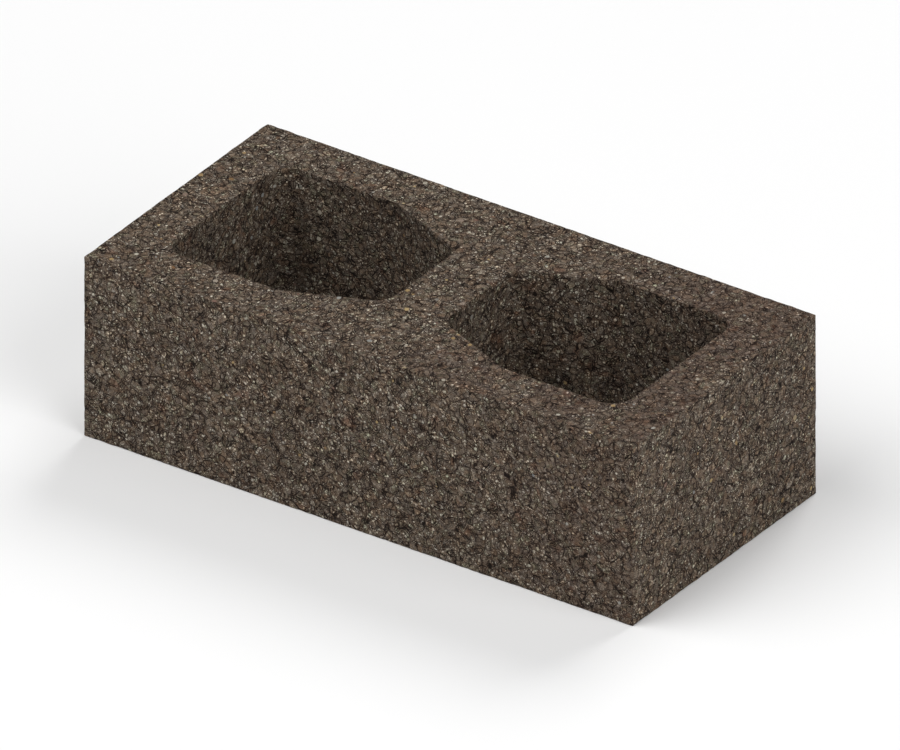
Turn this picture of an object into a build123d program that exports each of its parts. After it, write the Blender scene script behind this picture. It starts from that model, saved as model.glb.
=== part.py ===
from build123d import *
from math import radians, tan
import os

# Concrete building block of half height with two open cores, lying on its bed face.
# It is cast in one piece in a steel mould, for a masonry grid of 300 x 150 x 100 mm
# with 10 mm mortar joints. Millimetres, +X along the block, +Z up through the cores.
# The origin is the centre of the lower bed face.

# Outside of the block
block_length = 290.0
block_width = 140.0
block_height = 90.0

# Concrete left round the cores, measured on the upper bed face, where it is thinnest
face_shell = 25.0
end_web = 25.0
centre_web = 30.0

# Each core narrows in plan towards the centre web, between two splayed walls
splay_run = 44.0
splay_angle = 22.5
core_corner_radius = 10.0

# The cores also narrow downwards, so that the steel core bars draw out of the fresh mix
core_draft = 0.65

# Slight rounding that the mould and handling leave on the arrises
end_arris_radius = 0.5
bed_arris_radius = 0.4
core_mouth_radius = 0.4

# Plan of the core on the +X side, from its wide end beside the end web to its nose
core_wide_end = block_length / 2 - end_web
core_nose = centre_web / 2
splay_start = core_nose + splay_run
core_half_width = block_width / 2 - face_shell
nose_half_width = core_half_width - splay_run * tan(radians(splay_angle))

with BuildPart() as block:
    with BuildSketch():
        Rectangle(block_length, block_width)
    extrude(amount=block_height)
    end_arrises = block.edges().filter_by(Axis.Z)
    fillet(end_arrises, radius=end_arris_radius)

    # Cores: one outline with rounded corners, mirrored, and cut right down with draft
    upper_bed = Plane.XY.offset(block_height)
    with BuildSketch(upper_bed) as core_plan:
        with BuildLine():
            Polyline(
                (core_wide_end, core_half_width),
                (splay_start, core_half_width),
                (core_nose, nose_half_width),
                (core_nose, -nose_half_width),
                (splay_start, -core_half_width),
                (core_wide_end, -core_half_width),
                close=True,
            )
        make_face()
        fillet(core_plan.vertices(), radius=core_corner_radius)
        mirror(about=Plane.YZ)
    extrude(amount=-block_height, taper=core_draft, mode=Mode.SUBTRACT)

    # Arrises of both bed faces: the outer ones, then the mouths of the cores
    bed_faces = block.faces().filter_by(Axis.Z)
    outer_arrises = [edge for face in bed_faces for edge in face.outer_wire().edges()]
    core_mouths = [edge for face in bed_faces for wire in face.inner_wires() for edge in wire.edges()]
    fillet(outer_arrises, radius=bed_arris_radius)
    fillet(core_mouths, radius=core_mouth_radius)

block.part.label = "block"

os.makedirs("parts", exist_ok=True)
export_step(block.part, "parts/block.step")
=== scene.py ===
import bpy
import numpy as np
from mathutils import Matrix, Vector


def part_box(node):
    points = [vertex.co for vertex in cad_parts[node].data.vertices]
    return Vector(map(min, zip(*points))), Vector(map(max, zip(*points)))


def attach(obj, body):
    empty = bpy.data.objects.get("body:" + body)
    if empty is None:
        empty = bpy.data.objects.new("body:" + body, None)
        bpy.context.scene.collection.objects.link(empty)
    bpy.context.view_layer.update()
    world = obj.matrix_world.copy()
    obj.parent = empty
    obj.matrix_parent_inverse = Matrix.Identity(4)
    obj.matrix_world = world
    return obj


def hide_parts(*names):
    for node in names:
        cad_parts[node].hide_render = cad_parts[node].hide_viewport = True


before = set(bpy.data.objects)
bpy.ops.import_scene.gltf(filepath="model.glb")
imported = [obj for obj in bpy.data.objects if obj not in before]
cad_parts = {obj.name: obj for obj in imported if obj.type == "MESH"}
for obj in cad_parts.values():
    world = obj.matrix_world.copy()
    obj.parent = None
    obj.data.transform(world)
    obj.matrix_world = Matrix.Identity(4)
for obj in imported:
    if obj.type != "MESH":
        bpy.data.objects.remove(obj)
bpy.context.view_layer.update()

# Block. One dry-cast concrete unit: crushed stone, sand and a little cement paste, shaken
# and pressed in a steel mould round two tapered core bars, and pushed out while still fresh.
# The mould leaves flat faces, on which the stones stand a little proud of the grit round them.
mm = 0.001
block_low, block_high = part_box("block")
block_length, block_width, block_height = block_high - block_low
face_shell = 25 * mm
end_web = 25 * mm
centre_web = 30 * mm
splay_run = 44 * mm
splay_angle = np.radians(22.5)
core_corner_radius = 10 * mm
core_draft = np.radians(0.65)
end_arris_radius = 0.5 * mm
bed_arris_radius = 0.4 * mm

# Steps of the mesh: round a quarter of the outside, along the middle of the centre web,
# up the walls, round each arris, and across the upper and the lower bed face
quarter_steps = 132
middle_steps = 86
wall_steps = 54
arris_steps = 3
upper_bed_steps = 20
lower_bed_steps = 8


def outline(corners, radius, steps, arc_share):
    """Points and outward normals at even steps round a polygon with rounded corners.

    Every corner is an arc of the radius that touches both sides. The walk starts in the middle
    of the side before the first corner, goes anticlockwise, and counts each arc as arc_share
    times its length, so that a small arc still gets a few steps."""
    arc_points = 25
    corners = np.array(corners)
    before = corners - np.roll(corners, 1, axis=0)
    before /= np.linalg.norm(before, axis=1, keepdims=True)
    after = np.roll(before, -1, axis=0)
    turn = np.arctan2(before[:, 0] * after[:, 1] - before[:, 1] * after[:, 0], (before * after).sum(1))
    inward = np.stack([-before[:, 1], before[:, 0]], axis=1)
    centres = corners - before * radius * np.tan(turn / 2)[:, None] + inward * radius
    start = np.arctan2(-inward[:, 1], -inward[:, 0])
    angles = start[:, None] + turn[:, None] * np.linspace(0, 1, arc_points)
    normals = np.stack([np.cos(angles), np.sin(angles)], axis=2)
    points = (centres[:, None] + radius * normals).reshape(-1, 2)
    normals = normals.reshape(-1, 2)
    middle = (points[0] + points[-1]) / 2
    points = np.vstack([middle, points, middle])
    normals = np.vstack([normals[0], normals, normals[0]])
    stretch = np.linalg.norm(np.diff(points, axis=0), axis=1)
    on_arc = np.arange(len(stretch)) % arc_points != 0
    walked = np.append(0, np.cumsum(np.where(on_arc, arc_share, 1) * stretch))
    stops = np.linspace(0, walked[-1], steps + 1)[:-1]
    even = [np.interp(stops, walked, column) for column in np.hstack([points, normals]).T]
    return np.stack(even[:2], axis=1), np.stack(even[2:], axis=1)


def wall(points, normals, side, draft):
    """A wall carried round an outline: side is 1 for the outside of the block, -1 for a core.

    Its profile is a quarter round at each bed face and a straight between. The straight leans
    in by the draft's tangent for each metre below the upper bed face."""
    lower = np.radians(np.linspace(-90, 0, arris_steps + 1))
    upper = np.radians(np.linspace(0, 90, arris_steps + 1))
    straight = np.linspace(bed_arris_radius, block_height - bed_arris_radius, wall_steps + 1)[1:-1]
    tilt = np.concatenate([lower, 0 * straight, upper])
    level = np.concatenate([
        bed_arris_radius * (1 + np.sin(lower)),
        straight,
        block_height - bed_arris_radius * (1 - np.sin(upper)),
    ])
    shift = -side * bed_arris_radius * (1 - np.cos(tilt)) - np.tan(draft) * (block_height - level)
    place = points[None] + normals[None] * shift[:, None, None]
    rise = np.broadcast_to(level[:, None, None], place.shape[:2] + (1,))
    facing = side * normals[None] * np.cos(tilt)[:, None, None]
    lift = np.broadcast_to(np.sin(tilt)[:, None, None], place.shape[:2] + (1,))
    return np.concatenate([place, rise], axis=2), np.concatenate([facing, lift], axis=2)


def bed(mouth, edge, level, steps):
    """Half a bed face: straight spokes from each point of a core's mouth to one of the edge."""
    share = np.linspace(0, 1, steps + 1)[:, None, None]
    place = (1 - share) * mouth[None] + share * edge[None]
    rise = np.full(place.shape[:2] + (1,), level)
    facing = np.zeros(place.shape[:2] + (3,))
    facing[..., 2] = 1 if level > 0 else -1
    return np.concatenate([place, rise], axis=2), facing


def net(place, facing, turned):
    """Four-cornered faces between the rows of a grid that closes on itself along each row."""
    rows, columns = place.shape[:2]
    index = np.arange(rows * columns).reshape(rows, columns)
    ahead = np.roll(index, -1, axis=1)
    faces = np.stack([index[:-1], ahead[:-1], ahead[1:], index[1:]], axis=2).reshape(-1, 4)
    return place.reshape(-1, 3), facing.reshape(-1, 3), faces[:, ::-1] if turned else faces


def mirrored(place, facing):
    """The same grid on the other side of the centre web."""
    flip = np.array([-1.0, 1.0, 1.0])
    return place * flip, facing * flip


core_end = block_length / 2 - end_web
core_nose = centre_web / 2
core_half_width = block_width / 2 - face_shell
splay_start = core_nose + splay_run
nose_half_width = core_half_width - splay_run * np.tan(splay_angle)
half_length, half_width = block_length / 2, block_width / 2

outside = outline(
    [(half_length, half_width), (-half_length, half_width), (-half_length, -half_width),
     (half_length, -half_width)],
    end_arris_radius, steps=4 * quarter_steps, arc_share=3,
)
core = outline(
    [(core_end, core_half_width), (splay_start, core_half_width), (core_nose, nose_half_width),
     (core_nose, -nose_half_width), (splay_start, -core_half_width), (core_end, -core_half_width)],
    core_corner_radius, steps=2 * quarter_steps + middle_steps, arc_share=1,
)

outer_skin = wall(*outside, side=1, draft=0)
core_wall = wall(*core, side=-1, draft=core_draft)
edge = outside[0] - outside[1] * bed_arris_radius
middle_line = np.zeros((middle_steps + 1, 2))
middle_line[:, 1] = np.linspace(1, -1, middle_steps + 1) * (half_width - bed_arris_radius)
half_edge = np.vstack([edge[:quarter_steps], middle_line, edge[3 * quarter_steps + 1:]])
upper_bed = bed(core_wall[0][-1, :, :2], half_edge, block_height, upper_bed_steps)
lower_bed = bed(core_wall[0][0, :, :2], half_edge, 0, lower_bed_steps)

nets = [
    net(*outer_skin, turned=False),
    net(*core_wall, turned=True),
    net(*mirrored(*core_wall), turned=False),
    net(*upper_bed, turned=True),
    net(*mirrored(*upper_bed), turned=False),
    net(*lower_bed, turned=False),
    net(*mirrored(*lower_bed), turned=True),
]
counts = np.cumsum([0] + [len(points) for points, _, _ in nets])
points = np.vstack([points for points, _, _ in nets])
facing = np.vstack([normals for _, normals, _ in nets])
faces = np.vstack([faces + first for (_, _, faces), first in zip(nets, counts)])

# Points that two nets share are made one, so that the skin is closed
weld = 0.001 * mm
_, first, shared = np.unique(np.round(points / weld), axis=0, return_index=True, return_inverse=True)
points, facing, faces = points[first], facing[first], shared.reshape(-1)[faces]


def scatter(cell):
    """Three numbers from 0 to 1 for each cell of a lattice, the same three every time.

    They come from stirring the bits of the cell's three coordinates, in the way of the
    material's Voronoi texture, so that mesh and material agree on where each stone lies."""
    def turn(word, bits):
        return (word << np.uint32(bits)) | (word >> np.uint32(32 - bits))

    def settle(a, b, c):
        for bits_c, bits_a, bits_b in ((14, 11, 25), (16, 4, 14)):
            c = (c ^ b) - turn(b, bits_c)
            a = (a ^ c) - turn(c, bits_a)
            b = (b ^ a) - turn(a, bits_b)
        return (c ^ b) - turn(b, 24)

    def stir(a, b, c):
        for bits in ((4, 6, 8), (16, 19, 4)):
            a = (a - c) ^ turn(c, bits[0])
            c = c + b
            b = (b - a) ^ turn(a, bits[1])
            a = a + c
            c = (c - b) ^ turn(b, bits[2])
            b = b + a
        return a, b, c

    # Adding zero turns minus zero into zero. The texture starts from one word when it stirs
    # three numbers, and from another when it stirs four
    words = (cell.astype(np.float32) + np.float32(0)).view(np.uint32)
    x, y, z = words[..., 0], words[..., 1], words[..., 2]
    start_three, start_four = np.uint32(0xDEADBEEF + 12 + 13), np.uint32(0xDEADBEEF + 16 + 13)
    numbers = [settle(start_three + x, start_three + y, start_three + z)]
    for fourth in (1.0, 2.0):
        a, b, c = stir(start_four + x, start_four + y, start_four + z)
        numbers.append(settle(a + np.float32(fourth).view(np.uint32), b, c))
    return np.stack(numbers, axis=-1) / float(0xFFFFFFFF)


def stones(points, spacing):
    """How far each point is from its stone's outline, in metres, and the stone's three numbers.

    One stone's middle lies at random in each cell of a lattice. A point belongs to the nearest
    middle, and its outline is the nearest plane halfway to any other one."""
    around = np.stack(np.meshgrid(*[[-1, 0, 1]] * 3, indexing="ij"), axis=-1).reshape(-1, 3)
    scaled = points / spacing
    cells = np.floor(scaled)[:, None] + around
    numbers = scatter(cells)
    middles = cells + numbers - scaled[:, None]
    nearest = np.argmin((middles ** 2).sum(2), axis=1)[:, None, None]
    own = np.take_along_axis(middles, nearest, axis=1)
    apart = middles - own
    gap = np.linalg.norm(apart, axis=2)
    reach = np.full(gap.shape, np.inf)
    np.divide(((middles + own) / 2 * apart).sum(2), gap, out=reach, where=gap > 0)
    return reach.min(1) * spacing, np.take_along_axis(numbers, nearest, axis=1)[:, 0]


def cloud(points, size):
    """Three smooth noises from -1 to 1: random values on a lattice of that size, eased between."""
    scaled = points / size
    base = np.floor(scaled)
    share = scaled - base
    share = share * share * (3 - 2 * share)
    value = 0
    for corner in np.ndindex(2, 2, 2):
        weight = np.where(corner, share, 1 - share).prod(axis=1)
        value = value + weight[:, None] * scatter(base + corner)
    return 2 * value - 1


def ease(value, start, end):
    """0 before start, 1 after end, and between them an S-shaped rise with the share of the way.

    It is three times the square of that share less twice its cube."""
    share = np.clip((value - start) / (end - start), 0, 1)
    return share * share * (3 - 2 * share)


# Where each point lies in the mix: its own place, bent a little so that no stone is regular
stone_bend = 0.9 * mm
bend_size = 7 * mm
in_mix = points + stone_bend * cloud(points, bend_size)

# Relief. A share of the stones reaches the faces, each with a gap of its own round it, or
# sits a little below. The grit between them lies in lumps, from half to the whole of its
# depth below, and each face waves a little
stone_spacing = 5.2 * mm
stone_share = 0.35
least_gap, more_gap = 0.1 * mm, 0.5 * mm
risen_after = 1.1 * mm
sunk_stone = 0.12 * mm
grit_depth = 0.20 * mm
grit_lump = 2.6 * mm
face_wave = 0.08 * mm
wave_size = 26 * mm
from_outline, stone_numbers = stones(in_mix, stone_spacing)
stone_rise = ease(from_outline, least_gap + more_gap * stone_numbers[:, 0], risen_after)
stone_rise *= stone_numbers[:, 2] < stone_share
depth = grit_depth * (1 - stone_rise) * (0.75 + 0.25 * cloud(in_mix, grit_lump)[:, 0])
depth += sunk_stone * stone_numbers[:, 1] * stone_rise
depth += face_wave * (0.5 + 0.5 * cloud(points, wave_size)[:, 1])

# Grains lost from the arrises, where they had least to hold them, and more in some stretches
arris_loss = 0.18 * mm
loss_reach = 1.8 * mm
lost_grain = 3.4 * mm
lost_stretch = 15 * mm
loss_fade = (-0.1, 0.7)
from_end = half_length - np.abs(points[:, 0])
from_side = half_width - np.abs(points[:, 1])
from_bed = np.minimum(points[:, 2], block_height - points[:, 2])
from_arris = np.sort(np.stack([from_end, from_side, from_bed]), axis=0)[1]
lost = cloud(in_mix, lost_grain)[:, 2] + 0.5 * cloud(points, lost_stretch)[:, 0]
depth += arris_loss * ease(lost, *loss_fade) * (1 - ease(from_arris, 0, loss_reach))

# Smeared paste: by the tamper head towards the right end of the upper bed, in patches and
# with a slanting edge, and half as much by the mould towards the right end of the front face
smear_on_bed = (5 * mm, 95 * mm)
smear_on_front = (50 * mm, 130 * mm)
smear_slant = 0.35
smear_patch = 24 * mm
patch_fade = (-0.9, 0)
facing_up, facing_front = facing[:, 2] > 0.9, facing[:, 1] < -0.9
smear = facing_up * ease(points[:, 0] - smear_slant * points[:, 1], *smear_on_bed)
smear = smear * ease(cloud(points, smear_patch)[:, 1], *patch_fade)
smear = smear + 0.5 * facing_front * ease(points[:, 0], *smear_on_front)

skin = bpy.data.meshes.new("block_skin")
skin.from_pydata((points - facing * depth[:, None]).tolist(), [], faces.tolist())
skin.polygons.foreach_set("use_smooth", np.ones(len(faces), bool))
mix_place = skin.attributes.new("mix_place", "FLOAT_VECTOR", "POINT")
mix_place.data.foreach_set("vector", in_mix.astype(np.float32).ravel())
smeared = skin.attributes.new("smeared", "FLOAT", "POINT")
smeared.data.foreach_set("value", smear.astype(np.float32))
skin.update()
block = bpy.data.objects.new("block_skin", skin)
bpy.context.scene.collection.objects.link(block)
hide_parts("block")
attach(block, "root")

# Dry-cast concrete, unpainted and dry. Its brown-grey comes from a dark crushed stone. The eye
# sees sand, grit, pebbles and flat stones from under 1 to over 5 mm across, thin crevices that
# come and go round them, scattered pale specks, a few coloured chips, and no gloss at all. The
# dark of the crevices and of each grain towards its outline is painted shade.
concrete = bpy.data.materials.new("dry_cast_concrete")
concrete.use_nodes = True
tree = concrete.node_tree
tree.nodes.clear()

# Settings that many of its nodes share
product = {"operation": "MULTIPLY"}
difference = {"operation": "SUBTRACT"}
s_shaped = {"interpolation_type": "SMOOTHSTEP"}
tinting = {"data_type": "RGBA", "blend_type": "MULTIPLY"}


def linear(colour):
    """An sRGB hex colour as the linear red, green, blue and alpha that the shaders take."""
    code = np.array([int(colour[start:start + 2], 16) for start in (1, 3, 5)]) / 255
    light = np.where(code <= 0.04045, code / 12.92, ((code + 0.055) / 1.055) ** 2.4)
    return (*light, 1.0)


def add(kind, settings={}, **sockets):
    """Adds a node with its settings and its ramp's stops, and gives its sockets values or links.

    A socket goes by its name, with _ for a space, or by _ and its number. A node given as a
    value stands for the first of its outputs that is in use."""
    node = tree.nodes.new("ShaderNode" + kind)
    for name, value in settings.items():
        if name == "stops":
            for _ in value[2:]:
                node.color_ramp.elements.new(0.5)
            for element, (position, colour) in zip(node.color_ramp.elements, value):
                element.position, element.color = position, linear(colour)
        else:
            setattr(node, name, value)
    for name, value in sockets.items():
        socket = node.inputs[int(name[1:]) if name[1:].isdigit() else name.replace("_", " ")]
        if isinstance(value, bpy.types.Node):
            value = next(output for output in value.outputs if output.enabled)
        if isinstance(value, bpy.types.NodeSocket):
            tree.links.new(value, socket)
        else:
            socket.default_value = value
    return node


def total(*terms):
    """The sum of terms, each a value and how much it counts."""
    result = 0.0
    for value, amount in terms:
        result = add("Math", {"operation": "MULTIPLY_ADD"}, _0=value, _1=amount, _2=result)
    return result


def noise(place, size, detail):
    """Smooth noise about zero, of the given size, with finer noise on it."""
    value = add("TexNoise", Vector=place, Scale=1 / size, Detail=detail)
    return add("Math", difference, _0=value, _1=0.5)


def grains(place, spacing, share, angular, least, more):
    """One size of grain, as how far inside a grain each point is, and where there are grains.

    A share of the cells of a lattice holds one. An angular grain has the cell's own shape with
    a gap round it, and a round one has a radius, each from the least to so much more. Each
    grain also has a number from 0 to 1 for its tone and one for its hue. Lengths in metres."""
    near = add("TexVoronoi", {"feature": "F1"}, Vector=place, Scale=1 / spacing).outputs
    tone, hue, chance = add("SeparateColor", Color=near["Color"]).outputs
    there = add("Math", {"operation": "LESS_THAN"}, _0=chance, _1=share)
    length = add("Math", {"operation": "MULTIPLY_ADD"}, _0=hue, _1=more, _2=least)
    if angular:
        edge = add("TexVoronoi", {"feature": "DISTANCE_TO_EDGE"}, Vector=place, Scale=1 / spacing)
        reach = add("Math", product, _0=edge, _1=spacing)
        inside = add("Math", difference, _0=reach, _1=length)
    else:
        reach = add("Math", product, _0=near["Distance"], _1=spacing)
        inside = add("Math", difference, _0=length, _1=reach)
    return {"inside": inside, "there": there, "tone": tone, "hue": hue}


def risen(grain, slope):
    """How far the grains have risen within a slope along their outline, from 0 to 1."""
    rise = add("MapRange", s_shaped, Value=grain["inside"], From_Max=slope)
    return add("Math", product, _0=rise, _1=grain["there"])


def laid(below, grain, spread, dome_shade, slope, kept):
    """Grains laid on what lies below, as brightness in doublings.

    Their tones differ by up to the spread, painted shade darkens each grain along its outline over
    the slope's width, as on a dome lit from above, and the kept part of what lies below shows
    through. The last term keeps their mean near zero, for a grain has four fifths of its painted dome
    light on average."""
    rise = add("MapRange", s_shaped, Value=grain["inside"], From_Max=slope)
    mean = spread / 2 + 0.8 * dome_shade
    level = total((grain["tone"], spread), (rise, dome_shade), (below, kept), (1.0, -mean))
    soft_edge = 0.12 * mm
    return add("Mix", _0=risen(grain, soft_edge), _2=below, _3=level)


def crevice_shade(grain, place, width, stretch, start):
    """Painted shade in open joints of the given width along the grains' outlines.

    They come and go in stretches of the given size: where noise is above the start."""
    fade = 0.12
    off_outline = add("Math", {"operation": "ABSOLUTE"}, _0=grain["inside"])
    joint_shade = add("MapRange", s_shaped, Value=off_outline, From_Min=width, From_Max=0.0)
    open_here = noise(place, size=stretch, detail=2.0)
    open_here = add("MapRange", s_shaped, Value=open_here, From_Min=start, From_Max=start + fade)
    return add("Math", product, _0=joint_shade, _1=open_here)


# Places in the mix, and the same raggedly bent for the outlines of angular grains
ragged_size = 1.4 * mm
ragged_bend = 0.6 * mm
place = add("Attribute", {"attribute_name": "mix_place"}).outputs["Vector"]
ragged = add("TexNoise", Vector=place, Scale=1 / ragged_size, Detail=2.0).outputs["Color"]
ragged = add("VectorMath", difference, _0=ragged, _1=(0.5, 0.5, 0.5))
bent = add("VectorMath", {"operation": "MULTIPLY_ADD"}, _0=ragged, _1=(ragged_bend,) * 3, _2=place)

sand = grains(place, spacing=0.9 * mm, share=1.0, angular=False, least=0.36 * mm, more=0.3 * mm)
grit = grains(place, spacing=1.7 * mm, share=0.70, angular=False, least=0.6 * mm, more=0.5 * mm)
pebble = grains(bent, spacing=3.0 * mm, share=0.48, angular=True, least=0.08 * mm, more=0.3 * mm)
stone = grains(bent, stone_spacing, stone_share, angular=True, least=0.12 * mm, more=more_gap)
clump = grains(bent, spacing=9 * mm, share=1.0, angular=True, least=0.0, more=0.0)
speck = grains(place, spacing=1.5 * mm, share=0.13, angular=False, least=0.18 * mm, more=0.48 * mm)
chip = grains(bent, spacing=4.5 * mm, share=0.12, angular=False, least=0.3 * mm, more=1.1 * mm)

# Brightness, in doublings about zero: broad patches, and each size of grain on the finer ones, each
# grain with painted shade towards its outline
patch_contrast = 0.5
grit_slope = 0.34 * mm
pebble_slope = 0.4 * mm
level = total((noise(place, size=38 * mm, detail=2.0), patch_contrast))
level = laid(level, sand, spread=2.5, dome_shade=3.6, slope=0.20 * mm, kept=1.0)
level = laid(level, grit, spread=2.0, dome_shade=4.2, slope=grit_slope, kept=0.45)
level = laid(level, pebble, spread=0.9, dome_shade=2.4, slope=pebble_slope, kept=0.4)
level = laid(level, stone, spread=0.5, dome_shade=1.6, slope=0.4 * mm, kept=0.45)

# Pale specks, in drifts, most of them only a little paler and a few very bright. Part of
# what lies below shows through them
brightest_speck = 5.5
speck_edge = 0.05 * mm
kept_below_speck = 0.3
drifts = noise(place, size=14 * mm, detail=2.0)
drifts = add("MapRange", s_shaped, Value=drifts, From_Min=-0.22, From_Max=0.10)
pale = add("Math", product, _0=risen(speck, speck_edge), _1=drifts)
tone_squared = add("Math", product, _0=speck["tone"], _1=speck["tone"])
pale_level = total((tone_squared, brightest_speck), (level, kept_below_speck))
level = add("Mix", _0=pale, _2=level, _3=pale_level)

# Painted shade in the crevices round stones and pebbles, and in longer ones between clumps of
# the mix. The finest noise stands for sand too fine to show, and is drawn as coarse as the picture
# needs
crevice_shade_strength = 4.4
finest_contrast = 2.7
painted_crevice_shade = total(
    (crevice_shade(stone, place, width=0.22 * mm, stretch=3.5 * mm, start=-0.05), 1.0),
    (crevice_shade(pebble, place, width=0.16 * mm, stretch=3 * mm, start=-0.05), 1.0),
    (crevice_shade(clump, place, width=0.22 * mm, stretch=6 * mm, start=-0.03), 0.9),
)
finest = noise(place, size=0.4 * mm, detail=0.0)
doublings = total((level, 1.0), (painted_crevice_shade, -crevice_shade_strength), (finest, finest_contrast))

# Smeared paste hides part of the contrast
smeared_contrast = 0.75
smeared = add("Attribute", {"attribute_name": "smeared"}).outputs["Fac"]
contrast = add("MapRange", Value=smeared, To_Min=1.0, To_Max=smeared_contrast)
doublings = add("Math", product, _0=doublings, _1=contrast)

# Colour: dark parts are browner and pale ones greyer, and the ramp spans six doublings
darkest, palest = -3.71, 2.29
shade = add("MapRange", Value=doublings, From_Min=darkest, From_Max=palest)
colour = add("ValToRGB", {"stops": [
    (0.0, "#1a1410"), (0.25, "#2e241e"), (0.5, "#4c4037"), (0.75, "#776b5e"), (1.0, "#cfc7b5"),
]}, Fac=shade)

# Each pebble and each grain of grit has a slight hue of its own, from warm to cool to green
for grain in (pebble, grit):
    hue = add("ValToRGB", {"stops": [
        (0.0, "#fff6ee"), (0.3, "#fffcf9"), (0.5, "#ffffff"), (0.8, "#f9fbff"), (1.0, "#f9fff7"),
    ]}, Fac=grain["hue"])
    colour = add("Mix", tinting, _0=1.0, _6=colour, _7=hue)

# Rusty patches, and the redder and darker tone of smeared paste
rust = noise(place, size=9 * mm, detail=3.0)
rust = add("MapRange", s_shaped, Value=rust, From_Min=0.10, From_Max=0.22)
colour = add("Mix", tinting, _0=rust, _6=colour, _7=linear("#ffeae2"))
colour = add("Mix", tinting, _0=smeared, _6=colour, _7=linear("#f3edee"))

# Chips of other rock: brown, yellow, blue-grey, cream and reddish ones, thinly dusted over
chip_slope = 0.3 * mm
chip_bareness = 0.85
chip_colour = add("ValToRGB", {"stops": [
    (0.0, "#785b40"), (0.2, "#ad966a"), (0.45, "#7b7e7f"), (0.7, "#b9b3a3"), (1.0, "#6a4a40"),
]}, Fac=chip["tone"])
bare_chip = add("Math", product, _0=risen(chip, chip_slope), _1=chip_bareness)
colour = add("Mix", {"data_type": "RGBA"}, _0=bare_chip, _6=colour, _7=chip_colour)

# Relief that is finer than the mesh, and the shares of it by which grit and pebbles stand up
fine_relief = 0.5 * mm
grit_height, pebble_height = 0.6, 0.9
height = total((risen(grit, grit_slope), grit_height), (risen(pebble, pebble_slope), pebble_height))
bump = add("Bump", Height=height, Distance=fine_relief, Strength=1.0)
surface = add("BsdfPrincipled", Base_Color=colour, Roughness=0.95, Specular_IOR_Level=0.15, Normal=bump)
add("OutputMaterial", Surface=surface)
skin.materials.append(concrete)

# Studio. A plain white floor under three large round soft lights and a faint even sky. Every
# brightness is set against that of an even sky under which the bare floor is just white.
floor_half = 6.0
floor_white = 0.9
white_sky = 1 / floor_white
faint_sky = 0.07
light_distance = 5.0
camera_distance = 1.5
aim = Vector((0, 0, block_height / 2))

floor_corners = [(-floor_half, -floor_half), (floor_half, -floor_half),
                 (floor_half, floor_half), (-floor_half, floor_half)]
floor_mesh = bpy.data.meshes.new("floor")
floor_mesh.from_pydata([(x, y, 0) for x, y in floor_corners], [], [(0, 1, 2, 3)])
floor = bpy.data.objects.new("floor", floor_mesh)
bpy.context.scene.collection.objects.link(floor)
white = bpy.data.materials.new("white_floor")
white.use_nodes = True
floor_paint = white.node_tree.nodes["Principled BSDF"].inputs
floor_paint["Base Color"].default_value = (floor_white, floor_white, floor_white, 1)
floor_paint["Roughness"].default_value = 0.95
floor_paint["Specular IOR Level"].default_value = 0.0
floor_mesh.materials.append(white)


def place_facing(name, content, azimuth, elevation, distance):
    """Puts a lamp or a camera at a distance from the block's middle, facing it.

    The azimuth turns it from +X towards +Y, and the elevation lifts it, both in degrees."""
    turn, rise = np.radians(azimuth), np.radians(elevation)
    back = Vector((np.cos(rise) * np.cos(turn), np.cos(rise) * np.sin(turn), np.sin(rise)))
    holder = bpy.data.objects.new(name, content)
    holder.location = aim + back * distance
    holder.rotation_mode = "QUATERNION"
    holder.rotation_quaternion = back.to_track_quat("Z", "Y")
    bpy.context.scene.collection.objects.link(holder)
    return holder


def soft_light(name, azimuth, elevation, spread, brightness):
    """A round light: where it stands, its half angle seen from the block, and its radiance.

    The power of a disk is its radiance times pi, for all directions, times its area."""
    radius = light_distance * np.tan(np.radians(spread))
    lamp = bpy.data.lights.new(name, "AREA")
    lamp.shape = "DISK"
    lamp.size = 2 * radius
    lamp.energy = brightness * white_sky * np.pi * np.pi * radius ** 2
    holder = place_facing(name, lamp, azimuth, elevation, light_distance)
    holder.visible_camera = False


soft_light("light_right", azimuth=349, elevation=31, spread=26, brightness=2.40)
soft_light("light_back", azimuth=91, elevation=49, spread=15, brightness=5.27)
soft_light("light_left", azimuth=234, elevation=54, spread=25, brightness=3.01)

world = bpy.data.worlds.new("studio")
world.use_nodes = True
sky = world.node_tree.nodes["Background"].inputs
sky["Color"].default_value = (1, 1, 1, 1)
sky["Strength"].default_value = faint_sky * white_sky
bpy.context.scene.world = world
bpy.context.scene.view_settings.view_transform = "Standard"

# The camera stands 34.7 degrees round to the right of the front, 30.19 degrees up, and sees in
# parallel projection, so that its distance doesn't matter. Its view is ortho_scale metres wide
lens = bpy.data.cameras.new("camera")
lens.type = "ORTHO"
lens.ortho_scale = 0.3905
camera = place_facing("camera", lens, azimuth=-90 + 34.70, elevation=30.19, distance=camera_distance)
bpy.context.scene.camera = camera
